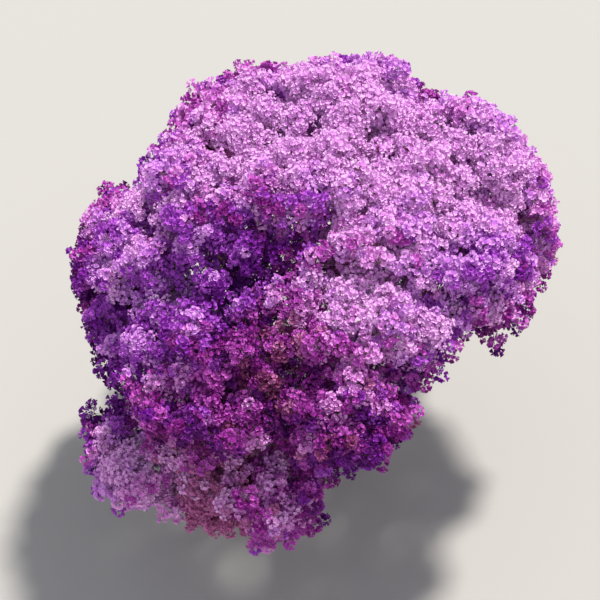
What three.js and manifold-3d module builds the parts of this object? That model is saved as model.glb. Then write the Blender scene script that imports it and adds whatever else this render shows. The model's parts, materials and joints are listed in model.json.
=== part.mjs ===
// A jacaranda in full bloom: one short trunk that forks low, a spreading scaffold
// of boughs, and a wide uneven crown made of rounded masses of blossom.
// Millimetres. +Z is up, +Y runs away from the viewer, +X is to the viewer's
// right. The origin is the middle of the flat cut at ground level.
import * as THREE from "three";
import { mergeVertices } from "three/addons/utils/BufferGeometryUtils.js";
import Module from "manifold-3d";

const wasm = await Module();
wasm.setup();

// ---------------------------------------------------------------- sizes
const GAP = 0.6; // clearance between touching pieces

// trunk
const TRUNK_HEIGHT = 2450; // ground to the top of the fork
const TRUNK_RADIUS = 345; // half the thickness at breast height
const TRUNK_TOP_RADIUS = 385; // it widens again where the boughs leave
const FLARE_RADIUS = 590; // root flare at the ground
const FLARE_HEIGHT = 430; // how fast the flare dies away
const FLARE_RIBS = 5; // low ridges of the flare
const FLARE_RIB_DEPTH = 0.15;
const TRUNK_LEAN = [190, -120]; // how far the fork stands off the foot
const TRUNK_SIDES = 16;
const TRUNK_STEPS = 8;

// crown
const CROWN_CENTRE = [150, 0, 7750];
const REACH_ACROSS = 7000; // half the spread from left to right
const REACH_ALONG = 7650; // half the spread from front to back
const REACH_UP = 5950;
const REACH_DOWN = 5450;

// Rings of foliage masses, from the drooping skirt to the top. Angles in degrees:
// azimuth 0 is +X and 90 is +Y; elevation is seen from the crown's centre.
// wide, tall and deep are the half sizes of a mass round the ring, up the crown
// and through its thickness.
const RINGS = [
  { name: "apron", elevation: -20, azimuth: -131, step: 18, count: 3, wide: 1530, tall: 1600, deep: 1350 },
  { name: "skirt", elevation: -11, azimuth: 51, step: 38, count: 4, wide: 1950, tall: 1600, deep: 1300 },
  { name: "low", elevation: 9, azimuth: -8, step: 36, count: 9, wide: 2050, tall: 1800, deep: 1450 },
  { name: "mid", elevation: 28, azimuth: -59, step: 43.5, count: 8, wide: 2200, tall: 1850, deep: 1400 },
  { name: "high", elevation: 54, azimuth: -157, step: 72, count: 5, wide: 2300, tall: 1800, deep: 1450 },
  { name: "top", elevation: 83, azimuth: -61, step: 0, count: 1, wide: 2100, tall: 2100, deep: 1300 },
];
const SWAY_AROUND = 0.1; // how unevenly a ring is filled, as a share of its step
const SWAY_UP = 5; // and how far its masses stand above or below it
const SWAY_SIZE = 0.12; // and how much they differ in size
const SWAY_SEED = 206;

// Named departures from an even crown. reach moves the masses near that
// direction out or in by a share, size scales them, lift raises them by that
// many degrees, and spread is how far it acts.
const FEATURES = [
  { name: "right_arm", azimuth: 22, elevation: 17, spread: 32, reach: 0.13, size: 0.06, lift: 3 },
  { name: "right_clearance", azimuth: -19, elevation: 0, spread: 26, reach: 0, size: -0.12, lift: 14.5 },
  { name: "left_notch", azimuth: 143, elevation: 20, spread: 22, reach: -0.2, size: -0.06, lift: 4 },
  { name: "left_arm", azimuth: -150, elevation: 13, spread: 22, reach: -0.11, size: -0.08, lift: 8 },
  { name: "front_hollow", azimuth: -95, elevation: 46, spread: 21, reach: -0.16, size: -0.01, lift: -4 },
  { name: "front_apron", azimuth: -105, elevation: -25, spread: 20, reach: 0.07, size: 0.1, lift: 0 },
  { name: "low_tassel", azimuth: -131, elevation: -17, spread: 9, reach: 0.14, size: -0.27, lift: 0 },
  { name: "back_shoulder", azimuth: 122, elevation: 44, spread: 24, reach: -0.05, size: 0, lift: 0 },
];

const SMALL_MASS = 1700; // masses of a smaller mean half size get fewer facets
const MASS_LUMPS = 7; // lumps on each mass
const MASS_UNEVEN = 0.24; // how far the lumps stand out

// boughs
const LIMB_SIDES = 6;
const FORK_DEPTH = 330; // the boughs start this far below the fork's top
const FORK_SPREAD = 130; // and this far from its axis
const PRIMARIES = [0, 2, 3, 5, 6]; // which masses of the middle ring they reach
// Start and tip radius, where on its parent the first limb of each kind leaves and
// how far up the next one does; then, as shares of its length, how far the limb
// swings sideways and drops below the straight line, first and last; its steps.
const LIMBS = {
  bough: { radius: 205, tip: 80, first: 0, step: 0, bow: 0.09, sag: 0.09, rise: -0.01, steps: 6 },
  low: { radius: 118, tip: 50, first: 0.24, step: 0.13, bow: 0.08, sag: -0.07, rise: -0.08, steps: 4 },
  high: { radius: 96, tip: 45, first: 0.47, step: 0.09, bow: 0.07, sag: 0.05, rise: 0.01, steps: 4 },
  apron: { radius: 86, tip: 40, first: 0.3, step: 0.09, bow: 0.07, sag: -0.12, rise: -0.09, steps: 4 },
  skirt: { radius: 86, tip: 40, first: 0.33, step: 0.09, bow: 0.07, sag: -0.12, rise: -0.09, steps: 4 },
};

// ---------------------------------------------------------------- materials
const BARK = new THREE.MeshStandardMaterial({ color: 0x6f5d50, roughness: 0.95, metalness: 0 });
const BLOSSOM = new THREE.MeshStandardMaterial({ color: 0xa35fb4, roughness: 0.85, metalness: 0 });

// ---------------------------------------------------------------- helpers
const rad = THREE.MathUtils.degToRad;
const mix = THREE.MathUtils.lerp;

// A seeded run of numbers from 0 to 1.
function seeded(seed) {
  let a = seed >>> 0;
  return () => {
    a = (a + 0x6d2b79f5) >>> 0;
    let t = a;
    t = Math.imul(t ^ (t >>> 15), t | 1);
    t ^= t + Math.imul(t ^ (t >>> 7), t | 61);
    return ((t ^ (t >>> 14)) >>> 0) / 4294967296;
  };
}

function direction(azimuth, elevation) {
  const a = rad(azimuth), e = rad(elevation);
  return new THREE.Vector3(Math.cos(e) * Math.cos(a), Math.cos(e) * Math.sin(a), Math.sin(e));
}

function solidOf(geometry) {
  const g = geometry.clone();
  g.deleteAttribute("normal");
  g.deleteAttribute("uv");
  const merged = mergeVertices(g, 1e-3);
  return new wasm.Manifold(
    new wasm.Mesh({
      numProp: 3,
      vertProperties: new Float32Array(merged.attributes.position.array),
      triVerts: new Uint32Array(merged.index.array),
    }),
  );
}

function geometryOf(solid) {
  const m = solid.getMesh(), n = m.numProp, v = new Float32Array(m.numVert * 3);
  for (let i = 0; i < m.numVert; i++) v.set(m.vertProperties.subarray(i * n, i * n + 3), i * 3);
  return new THREE.BufferGeometry()
    .setAttribute("position", new THREE.BufferAttribute(v, 3))
    .setIndex(new THREE.BufferAttribute(new Uint32Array(m.triVerts), 1));
}

function largest(solid) {
  return solid.decompose().sort((a, b) => b.volume() - a.volume())[0];
}

// The part of a cut limb that still holds its foot.
function rooted(solid, foot) {
  const near = (s) => {
    const b = s.boundingBox();
    return foot.distanceTo(
      new THREE.Vector3(...b.min).max(new THREE.Vector3(Math.min(foot.x, b.max[0]), Math.min(foot.y, b.max[1]), Math.min(foot.z, b.max[2]))),
    );
  };
  return solid
    .decompose()
    .filter((s) => s.volume() > 1e5)
    .sort((a, b) => near(a) - near(b))[0];
}

// ---------------------------------------------------------------- trunk
function trunkRadius(z, angle) {
  const flare = Math.exp(-z / FLARE_HEIGHT);
  const ribs = 1 + FLARE_RIB_DEPTH * flare * Math.cos(FLARE_RIBS * angle + 0.7);
  const shaft = mix(TRUNK_RADIUS * 1.04, TRUNK_RADIUS * 0.97, Math.min(1, z / 1500));
  const swell = (TRUNK_TOP_RADIUS - TRUNK_RADIUS) * THREE.MathUtils.smoothstep(z, 1400, TRUNK_HEIGHT);
  return (shaft + swell + (FLARE_RADIUS - TRUNK_RADIUS) * flare) * ribs;
}

function trunkAxis(z) {
  const t = z / TRUNK_HEIGHT;
  const bend = t * t * (3 - 2 * t);
  return new THREE.Vector3(TRUNK_LEAN[0] * bend, TRUNK_LEAN[1] * bend, z);
}

function trunkSolid(grow = 0) {
  const g = new THREE.CylinderGeometry(1, 1, 1, TRUNK_SIDES, TRUNK_STEPS).rotateX(Math.PI / 2);
  const p = g.attributes.position;
  for (let i = 0; i < p.count; i++) {
    const t = p.getZ(i) + 0.5;
    const z = TRUNK_HEIGHT * Math.pow(t, 1.35);
    const flat = Math.hypot(p.getX(i), p.getY(i));
    const angle = Math.atan2(p.getY(i), p.getX(i));
    const crest = t > 0.999 ? 0.8 : 1; // the rim of the fork is rounded off
    const r = flat < 0.5 ? 0 : trunkRadius(z, angle) * crest + grow;
    const at = trunkAxis(z);
    const dome = t > 0.999 && flat < 0.5 ? 60 : 0;
    p.setXYZ(i, at.x + r * Math.cos(angle), at.y + r * Math.sin(angle), t < 1e-6 ? 0 : z + dome + (t > 0.999 ? grow : 0));
  }
  return solidOf(g);
}

// ---------------------------------------------------------------- foliage masses
function featureAt(dir, key) {
  let sum = 0;
  for (const f of FEATURES) {
    const away = THREE.MathUtils.radToDeg(dir.angleTo(direction(f.azimuth, f.elevation)));
    sum += f[key] * Math.exp(-((away / f.spread) ** 2));
  }
  return sum;
}

function crownReach(dir) {
  const up = dir.z > 0 ? REACH_UP : REACH_DOWN;
  const even = 1 / Math.hypot(dir.x / REACH_ACROSS, dir.y / REACH_ALONG, dir.z / up);
  return even * (1 + featureAt(dir, "reach"));
}

function massPlan() {
  const plan = [];
  const random = seeded(SWAY_SEED);
  for (const ring of RINGS) {
    for (let i = 0; i < ring.count; i++) {
      const azimuth = ring.azimuth + i * ring.step + (random() * 2 - 1) * SWAY_AROUND * ring.step;
      const even = ring.elevation + (random() * 2 - 1) * SWAY_UP;
      const elevation = even + featureAt(direction(azimuth, even), "lift");
      const out = direction(azimuth, elevation);
      const size = (1 + featureAt(out, "size")) * (1 + (random() * 2 - 1) * SWAY_SIZE);
      const half = new THREE.Vector3(ring.wide * size, ring.tall * size, ring.deep * size);
      const centre = out.clone().multiplyScalar(crownReach(out) - half.z).add(new THREE.Vector3(...CROWN_CENTRE));
      plan.push({ name: `${ring.name}_${i + 1}`, ring: ring.name, index: i, elevation, out, half, centre, seed: 700 + plan.length * 13 });
    }
  }
  return plan;
}

// One closed uneven solid: an icosphere with its own lumps, flatter underneath.
function massSolid(m) {
  const random = seeded(m.seed);
  const bumps = Array.from({ length: MASS_LUMPS }, () => ({
    at: new THREE.Vector3(random() * 2 - 1, random() * 2 - 1, random() * 1.6 - 0.6).normalize(),
    height: mix(0.3, 1, random()),
    width: mix(0.38, 0.7, random()),
  }));
  const around = new THREE.Vector3(0, 0, 1).cross(m.out).normalize();
  if (m.elevation > 80) around.set(1, 0, 0);
  const upward = m.out.clone().cross(around).normalize();
  const small = Math.cbrt(m.half.x * m.half.y * m.half.z) < SMALL_MASS;
  const g = small ? new THREE.OctahedronGeometry(1, 3) : new THREE.IcosahedronGeometry(1, 2);
  const p = g.attributes.position, v = new THREE.Vector3();
  for (let i = 0; i < p.count; i++) {
    v.fromBufferAttribute(p, i).normalize();
    let r = 0.9;
    for (const b of bumps) r += MASS_UNEVEN * b.height * Math.exp(-((v.angleTo(b.at) / b.width) ** 2));
    v.multiplyScalar(r);
    const at = new THREE.Vector3()
      .addScaledVector(around, v.x * m.half.x)
      .addScaledVector(upward, v.y * m.half.y)
      .addScaledVector(m.out, v.z * m.half.z);
    if (at.z < 0) at.z *= 0.86;
    at.add(m.centre);
    p.setXYZ(i, at.x, at.y, at.z);
  }
  return solidOf(g);
}

// A big block whose near face is the plane through point, square to normal.
function beyond(point, normal) {
  const SIZE = 20000;
  const g = new THREE.BoxGeometry(SIZE, SIZE, SIZE);
  g.translate(0, 0, SIZE / 2);
  g.applyQuaternion(new THREE.Quaternion().setFromUnitVectors(new THREE.Vector3(0, 0, 1), normal));
  g.translate(point.x, point.y, point.z);
  return solidOf(g);
}

// Neighbouring masses meet at a flat face half way between their surfaces.
function trimMasses(plan) {
  const whole = plan.map(massSolid);
  return plan.map((m, i) => {
    let s = whole[i];
    plan.forEach((o, j) => {
      if (j === i || whole[i].intersect(whole[j]).volume() < 1) return;
      const across = o.centre.clone().sub(m.centre);
      const apart = across.length();
      across.divideScalar(apart);
      const mine = Math.cbrt(m.half.x * m.half.y * m.half.z);
      const other = Math.cbrt(o.half.x * o.half.y * o.half.z);
      const at = (apart * apart + mine * mine - other * other) / (2 * apart);
      s = s.subtract(beyond(m.centre.clone().addScaledVector(across, at - GAP), across));
    });
    return largest(s);
  });
}

// ---------------------------------------------------------------- boughs
// A tapering limb along a gently bent curve.
function limbSolid(limb, grow = 0) {
  const g = new THREE.CylinderGeometry(1, 1, 1, LIMB_SIDES, limb.steps).rotateX(Math.PI / 2);
  const frames = limb.curve.computeFrenetFrames(limb.steps, false);
  const p = g.attributes.position;
  for (let i = 0; i < p.count; i++) {
    const t = THREE.MathUtils.clamp(p.getZ(i) + 0.5, 0, 1);
    const k = Math.round(t * limb.steps);
    const r = mix(limb.radius, limb.tip, Math.pow(t, 0.8)) + grow;
    const at = limb.curve.getPointAt(t);
    at.addScaledVector(frames.normals[k], p.getX(i) * r).addScaledVector(frames.binormals[k], p.getY(i) * r);
    p.setXYZ(i, at.x, at.y, at.z);
  }
  return solidOf(g);
}

// From foot to target with an s-bend sideways; sag and rise are the heights, as
// shares of its length, by which it leaves the straight line.
function limbTo(name, kind, foot, target, turn, size) {
  const shape = LIMBS[kind];
  const across = target.clone().sub(foot);
  const length = across.length();
  const side = new THREE.Vector3(-across.y, across.x, 0).normalize().multiplyScalar(turn * shape.bow * length);
  const first = foot.clone().addScaledVector(across, 0.33).add(side);
  const second = foot.clone().addScaledVector(across, 0.68).sub(side);
  first.z -= shape.sag * length;
  second.z -= shape.rise * length;
  const curve = new THREE.CubicBezierCurve3(foot, first, second, target);
  return { name, curve, radius: shape.radius * size, tip: shape.tip, steps: shape.steps };
}

function boughPlan(plan) {
  const random = seeded(97);
  const fork = trunkAxis(TRUNK_HEIGHT - FORK_DEPTH);
  const ring = (name) => plan.filter((m) => m.ring === name);
  const heading = (m) => Math.atan2(m.centre.y - fork.y, m.centre.x - fork.x);
  const boughs = PRIMARIES.map((k, i) => {
    const m = ring("mid")[k];
    const azimuth = heading(m);
    const foot = fork.clone().add(new THREE.Vector3(Math.cos(azimuth), Math.sin(azimuth), 0).multiplyScalar(FORK_SPREAD));
    const limb = limbTo(`bough_${i + 1}`, "bough", foot, m.centre.clone(), i % 2 ? 1 : -1, mix(0.9, 1.08, random()));
    return { ...limb, azimuth };
  });
  const limbs = [...boughs];
  for (const kind of ["low", "high", "apron", "skirt"]) {
    const taken = new Map(boughs.map((b) => [b, 0]));
    for (const m of ring(kind)) {
      const away = (b) => Math.abs(Math.atan2(Math.sin(heading(m) - b.azimuth), Math.cos(heading(m) - b.azimuth)));
      const parent = boughs.slice().sort((a, b) => away(a) - away(b))[0];
      const k = taken.get(parent);
      taken.set(parent, k + 1);
      const foot = parent.curve.getPointAt(LIMBS[kind].first + LIMBS[kind].step * k);
      limbs.push(limbTo(`branch_${kind}_${m.index + 1}`, kind, foot, m.centre.clone(), k % 2 ? -1 : 1, mix(0.9, 1.1, random())));
    }
  }
  return limbs;
}

// ---------------------------------------------------------------- the tree
const tree = new THREE.Group();
tree.name = "jacaranda_tree";

function addPiece(name, solid, material) {
  const piece = new THREE.Mesh(geometryOf(solid), material);
  piece.name = name;
  tree.add(piece);
}

const plan = massPlan();
const masses = trimMasses(plan);
// The same masses a touch larger: limbs stop at these.
const keepOut = masses.map((s, i) => {
  const c = plan[i].centre;
  return s.translate([-c.x, -c.y, -c.z]).scale([1.0012, 1.0012, 1.0012]).translate([c.x, c.y, c.z]);
});

addPiece("trunk", trunkSolid(), BARK);

const placed = [trunkSolid(GAP)];
for (const limb of boughPlan(plan)) {
  let s = limbSolid(limb);
  for (const other of placed) s = s.subtract(other);
  for (const m of keepOut) s = s.subtract(m);
  s = rooted(s, limb.curve.getPointAt(0.08));
  addPiece(limb.name, s, BARK);
  placed.push(limbSolid(limb, GAP));
}

plan.forEach((m, i) => addPiece(`mass_${m.name}`, masses[i], BLOSSOM));

export default tree;
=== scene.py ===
import json
import math

import bpy
import numpy as np
from mathutils import Matrix, Vector
from mathutils.bvhtree import BVHTree

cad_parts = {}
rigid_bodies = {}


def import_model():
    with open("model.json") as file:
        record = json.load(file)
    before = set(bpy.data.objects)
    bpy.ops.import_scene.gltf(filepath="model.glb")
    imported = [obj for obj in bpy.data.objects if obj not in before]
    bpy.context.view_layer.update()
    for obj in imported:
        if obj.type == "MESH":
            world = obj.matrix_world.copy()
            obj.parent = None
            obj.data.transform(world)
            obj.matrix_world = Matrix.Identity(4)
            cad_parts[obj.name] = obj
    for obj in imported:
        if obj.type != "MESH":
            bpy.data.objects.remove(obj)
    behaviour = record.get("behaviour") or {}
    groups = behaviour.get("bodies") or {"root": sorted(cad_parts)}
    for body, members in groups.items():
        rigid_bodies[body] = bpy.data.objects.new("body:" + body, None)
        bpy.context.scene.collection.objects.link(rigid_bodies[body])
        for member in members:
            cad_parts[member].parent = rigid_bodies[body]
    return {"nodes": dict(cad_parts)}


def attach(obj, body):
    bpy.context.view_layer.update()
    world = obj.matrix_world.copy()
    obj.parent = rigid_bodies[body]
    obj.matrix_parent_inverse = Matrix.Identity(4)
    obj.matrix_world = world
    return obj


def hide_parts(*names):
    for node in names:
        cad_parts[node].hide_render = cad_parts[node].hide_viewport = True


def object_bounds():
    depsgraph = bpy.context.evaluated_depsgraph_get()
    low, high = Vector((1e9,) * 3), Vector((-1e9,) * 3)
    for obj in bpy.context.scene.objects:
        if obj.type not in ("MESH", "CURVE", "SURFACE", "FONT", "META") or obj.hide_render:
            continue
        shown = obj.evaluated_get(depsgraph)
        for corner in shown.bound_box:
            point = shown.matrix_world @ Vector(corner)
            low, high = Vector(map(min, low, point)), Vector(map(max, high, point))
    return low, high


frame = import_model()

cad_lo, cad_hi = [list(v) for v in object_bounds()]

# ------------------------------------------------------------------ sizes
# The tree's own sizes, in metres, as the solids have them.
TRUNK_HEIGHT = 2.45
TRUNK_RADIUS = 0.345
TRUNK_TOP_RADIUS = 0.385
FLARE_RADIUS = 0.59
FLARE_HEIGHT = 0.43
FLARE_RIBS = 5
FLARE_RIB_DEPTH = 0.15
TRUNK_LEAN = (0.19, -0.12)
FORK_DEPTH = 0.33
FORK_SPREAD = 0.13

CROWN_CENTRE = np.array([0.15, 0.0, 7.75])
REACH_ACROSS, REACH_ALONG, REACH_UP, REACH_DOWN = 7.0, 7.65, 5.95, 5.45
# name, elevation, azimuth, step, count, wide, tall, deep
RINGS = [
    ("apron", -20, -131, 18, 3, 1.53, 1.60, 1.35),
    ("skirt", -11, 51, 38, 4, 1.95, 1.60, 1.30),
    ("low", 9, -8, 36, 9, 2.05, 1.80, 1.45),
    ("mid", 28, -59, 43.5, 8, 2.20, 1.85, 1.40),
    ("high", 54, -157, 72, 5, 2.30, 1.80, 1.45),
    ("top", 83, -61, 0, 1, 2.10, 2.10, 1.30),
]
SWAY_AROUND, SWAY_UP, SWAY_SIZE, SWAY_SEED = 0.1, 5, 0.12, 206
# azimuth, elevation, spread, reach, size, lift
FEATURES = [
    (22, 17, 32, 0.13, 0.06, 3),
    (-19, 0, 26, 0.0, -0.12, 14.5),
    (143, 20, 22, -0.2, -0.06, 4),
    (-150, 13, 22, -0.11, -0.08, 8),
    (-95, 46, 21, -0.16, -0.01, -4),
    (-105, -25, 20, 0.07, 0.1, 0),
    (-131, -17, 9, 0.14, -0.27, 0),
    (122, 44, 24, -0.05, 0, 0),
]
PRIMARIES = [0, 2, 3, 5, 6]
# radius, tip, first, step, bow, sag, rise
LIMBS = {
    "bough": (0.205, 0.080, 0.0, 0.0, 0.09, 0.09, -0.01),
    "low": (0.118, 0.050, 0.24, 0.13, 0.08, -0.07, -0.08),
    "high": (0.096, 0.045, 0.47, 0.09, 0.07, 0.05, 0.01),
    "apron": (0.086, 0.040, 0.30, 0.09, 0.07, -0.12, -0.09),
    "skirt": (0.086, 0.040, 0.33, 0.09, 0.07, -0.12, -0.09),
}

# blossom: heads of sprays on the outside, on the faces turned into the crown, and deep inside
HEADS = {
    # spacing, radius, sprays, flowers in a spray, how far round the sprays go, size of flower
    "outer": (0.94, 0.55, 16, 16, -0.15, 0.126),
    "between": (0.66, 0.38, 6, 10, 0.0, 0.132),
    "inner": (0.95, 0.46, 8, 11, 0.1, 0.125),
    "deep": (1.25, 0.52, 7, 9, -0.2, 0.150),
    "limb": (0.60, 0.34, 6, 10, -0.3, 0.120),
    "gap": (0.50, 0.39, 5, 10, -0.1, 0.155),
}
DEEP_SHRINK = 0.62  # where the deep heads lie between a mass's middle and its outside
# Where the crown's colour is lighter or darker, warmer or cooler than its height gives; the lighter and darker is
# partly painted light and painted shade, partly the blossom's own tone, and the warmth is its own hue:
# azimuth, elevation, spread, lightness, warmth
PLACES = [
    (57, 74, 32, 0.48, 0.0),
    (5, 42, 24, 0.26, 0.0),
    (-81, 66, 20, -0.30, 0.0),
    (-118, 40, 18, -0.15, -0.4),
    (-89, 34, 12, -0.12, 0.8),
    (-61, 38, 17, 0.34, 0.4),
    (-92, 16, 26, -0.26, 0.1),
    (-106, -26, 26, 0.58, 0.86),
    (-132, -18, 12, 0.45, -0.6),
    (-152, 30, 20, 0.22, -0.7),
    (-128, 58, 14, -0.18, -0.2),
    (-18, 28, 18, -0.10, -0.4),
    (14, 6, 22, 0.26, 0.0),
    (-160, 6, 15, -0.22, -0.1),
]

rng = np.random.default_rng(7)


# ------------------------------------------------------------------ the plan of the crown
def seeded(seed):
    state = [seed & 0xFFFFFFFF]

    def draw():
        state[0] = (state[0] + 0x6D2B79F5) & 0xFFFFFFFF
        t = state[0]
        t = ((t ^ (t >> 15)) * (t | 1)) & 0xFFFFFFFF
        t ^= (t + (((t ^ (t >> 7)) * (t | 61)) & 0xFFFFFFFF)) & 0xFFFFFFFF
        return ((t ^ (t >> 14)) & 0xFFFFFFFF) / 4294967296

    return draw


def direction(azimuth, elevation):
    a, e = math.radians(azimuth), math.radians(elevation)
    return np.array([math.cos(e) * math.cos(a), math.cos(e) * math.sin(a), math.sin(e)])


FEATURE_DIRS = [direction(f[0], f[1]) for f in FEATURES]


def feature(d, key):
    total = 0.0
    for f, fd in zip(FEATURES, FEATURE_DIRS):
        away = math.degrees(math.acos(max(-1.0, min(1.0, float(d @ fd)))))
        total += f[key] * math.exp(-((away / f[2]) ** 2))
    return total


def crown_reach(d):
    up = REACH_UP if d[2] > 0 else REACH_DOWN
    even = 1 / math.sqrt((d[0] / REACH_ACROSS) ** 2 + (d[1] / REACH_ALONG) ** 2 + (d[2] / up) ** 2)
    return even * (1 + feature(d, 3))


def mass_plan():
    draw = seeded(SWAY_SEED)
    plan = []
    for name, elevation, azimuth, step, count, wide, tall, deep in RINGS:
        for i in range(count):
            az = azimuth + i * step + (draw() * 2 - 1) * SWAY_AROUND * step
            even = elevation + (draw() * 2 - 1) * SWAY_UP
            el = even + feature(direction(az, even), 5)
            out = direction(az, el)
            size = (1 + feature(out, 4)) * (1 + (draw() * 2 - 1) * SWAY_SIZE)
            half = np.array([wide, tall, deep]) * size
            centre = out * (crown_reach(out) - half[2]) + CROWN_CENTRE
            plan.append({"name": f"mass_{name}_{i + 1}", "ring": name, "index": i, "out": out, "half": half, "centre": centre})
    return plan


def unit(v):
    return v / (np.linalg.norm(v) + 1e-12)


def trunk_axis(z):
    t = z / TRUNK_HEIGHT
    bend = t * t * (3 - 2 * t)
    return np.array([TRUNK_LEAN[0] * bend, TRUNK_LEAN[1] * bend, z])


class Limb:
    """A limb along a cubic curve, measured along its length."""

    def __init__(self, name, kind, foot, target, turn, size, mass=None, parent=None):
        radius, tip, _, _, bow, sag, rise = LIMBS[kind]
        across = target - foot
        length = np.linalg.norm(across)
        side = unit(np.array([-across[1], across[0], 0.0])) * turn * bow * length
        first = foot + across * 0.33 + side
        second = foot + across * 0.68 - side
        first[2] -= sag * length
        second[2] -= rise * length
        self.name, self.kind, self.mass, self.parent = name, kind, mass, parent
        self.radius, self.tip = radius * size, tip
        self.p = [foot, first, second, target]
        t = np.linspace(0, 1, 201)[:, None]
        a, b, c, d = self.p
        pts = a * (1 - t) ** 3 + 3 * b * (1 - t) ** 2 * t + 3 * c * (1 - t) * t**2 + d * t**3
        self.pts = pts
        s = np.concatenate([[0], np.cumsum(np.linalg.norm(np.diff(pts, axis=0), axis=1))])
        self.length = s[-1]
        self.s = s / s[-1]

    def at(self, u):
        u = np.atleast_1d(np.clip(u, 0, 1))
        return np.stack([np.interp(u, self.s, self.pts[:, k]) for k in range(3)], 1)

    def thick(self, u):
        return self.radius + (self.tip - self.radius) * np.power(np.clip(u, 0, 1), 0.8)


def limb_plan(plan):
    draw = seeded(97)
    fork = trunk_axis(TRUNK_HEIGHT - FORK_DEPTH)
    ring = lambda name: [m for m in plan if m["ring"] == name]
    heading = lambda m: math.atan2(m["centre"][1] - fork[1], m["centre"][0] - fork[0])
    boughs = []
    for i, k in enumerate(PRIMARIES):
        m = ring("mid")[k]
        az = heading(m)
        foot = fork + np.array([math.cos(az), math.sin(az), 0]) * FORK_SPREAD
        limb = Limb(f"bough_{i + 1}", "bough", foot, m["centre"].copy(), 1 if i % 2 else -1, 0.9 + 0.18 * draw(), m)
        limb.azimuth = az
        boughs.append(limb)
    limbs = list(boughs)
    for kind in ("low", "high", "apron", "skirt"):
        taken = {b.name: 0 for b in boughs}
        for m in ring(kind):
            away = lambda b: abs(math.atan2(math.sin(heading(m) - b.azimuth), math.cos(heading(m) - b.azimuth)))
            parent = sorted(boughs, key=away)[0]
            k = taken[parent.name]
            taken[parent.name] += 1
            u = LIMBS[kind][2] + LIMBS[kind][3] * k
            foot = parent.at(u)[0]
            limb = Limb(f"branch_{kind}_{m['index'] + 1}", kind, foot, m["centre"].copy(), -1 if k % 2 else 1, 0.9 + 0.2 * draw(), m, parent)
            limb.foot_u = u
            limbs.append(limb)
    return limbs


plan = mass_plan()
limbs = limb_plan(plan)
nodes = frame["nodes"]


# ------------------------------------------------------------------ mesh helpers
def lattice(ix, iy, iz, seed):
    n = (ix * 374761393 + iy * 668265263 + iz * 1440662683 + seed * 1013904223).astype(np.uint64) & np.uint64(0xFFFFFFFF)
    n = ((n ^ (n >> np.uint64(13))) * np.uint64(1274126177)) & np.uint64(0xFFFFFFFF)
    n = n ^ (n >> np.uint64(16))
    return n.astype(np.float64) / 4294967295.0


def noise(p, seed=0):
    """Smooth value noise, 0 to 1, at points given in lattice units."""
    i = np.floor(p).astype(np.int64)
    f = p - i
    w = f * f * (3 - 2 * f)
    total = 0
    for dx in (0, 1):
        wx = w[:, 0] if dx else 1 - w[:, 0]
        for dy in (0, 1):
            wy = w[:, 1] if dy else 1 - w[:, 1]
            for dz in (0, 1):
                wz = w[:, 2] if dz else 1 - w[:, 2]
                total = total + lattice(i[:, 0] + dx, i[:, 1] + dy, i[:, 2] + dz, seed) * wx * wy * wz
    return total


def make_object(name, verts, faces, material, smooth=False):
    """faces is a list of arrays of one face size each."""
    mesh = bpy.data.meshes.new(name)
    verts = np.asarray(verts, np.float32)
    mesh.vertices.add(len(verts))
    mesh.vertices.foreach_set("co", verts.ravel())
    faces = [np.asarray(f, np.int32) for f in faces if len(f)]
    loops = np.concatenate([f.ravel() for f in faces])
    sizes = np.concatenate([np.full(len(f), f.shape[1], np.int32) for f in faces])
    starts = np.concatenate([[0], np.cumsum(sizes)[:-1]]).astype(np.int32)
    mesh.loops.add(len(loops))
    mesh.loops.foreach_set("vertex_index", loops)
    mesh.polygons.add(len(sizes))
    mesh.polygons.foreach_set("loop_start", starts)
    mesh.update(calc_edges=True)
    mesh.validate()
    mesh.polygons.foreach_set("use_smooth", np.full(len(sizes), smooth, bool))
    mesh.materials.append(material)
    obj = bpy.data.objects.new(name, mesh)
    bpy.context.scene.collection.objects.link(obj)
    return obj


class Pile:
    """Gathers vertices and faces of many small shapes into one mesh."""

    def __init__(self):
        self.v, self.f3, self.f4, self.n = [], [], [], 0

    def add(self, verts, f3=None, f4=None):
        self.v.append(verts)
        if f3 is not None and len(f3):
            self.f3.append(np.asarray(f3) + self.n)
        if f4 is not None and len(f4):
            self.f4.append(np.asarray(f4) + self.n)
        self.n += len(verts)

    def triangles(self):
        return sum(len(f) for f in self.f3) + 2 * sum(len(f) for f in self.f4)

    def build(self, name, material, smooth=False):
        faces = []
        if self.f3:
            faces.append(np.concatenate(self.f3))
        if self.f4:
            faces.append(np.concatenate(self.f4))
        return make_object(name, np.concatenate(self.v), faces, material, smooth)


def frames_along(pts):
    """Tangent and two normals at each point of a line, carried along without twist."""
    tan = np.gradient(pts, axis=0)
    tan /= np.linalg.norm(tan, axis=1)[:, None] + 1e-12
    ref = np.array([0.0, 0.0, 1.0]) if abs(tan[0, 2]) < 0.9 else np.array([1.0, 0.0, 0.0])
    n = unit(np.cross(tan[0], ref))
    normals = [n]
    for i in range(1, len(pts)):
        n = n - tan[i] * (n @ tan[i])
        n = unit(n)
        normals.append(n)
    normals = np.array(normals)
    return tan, normals, np.cross(tan, normals)


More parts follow.
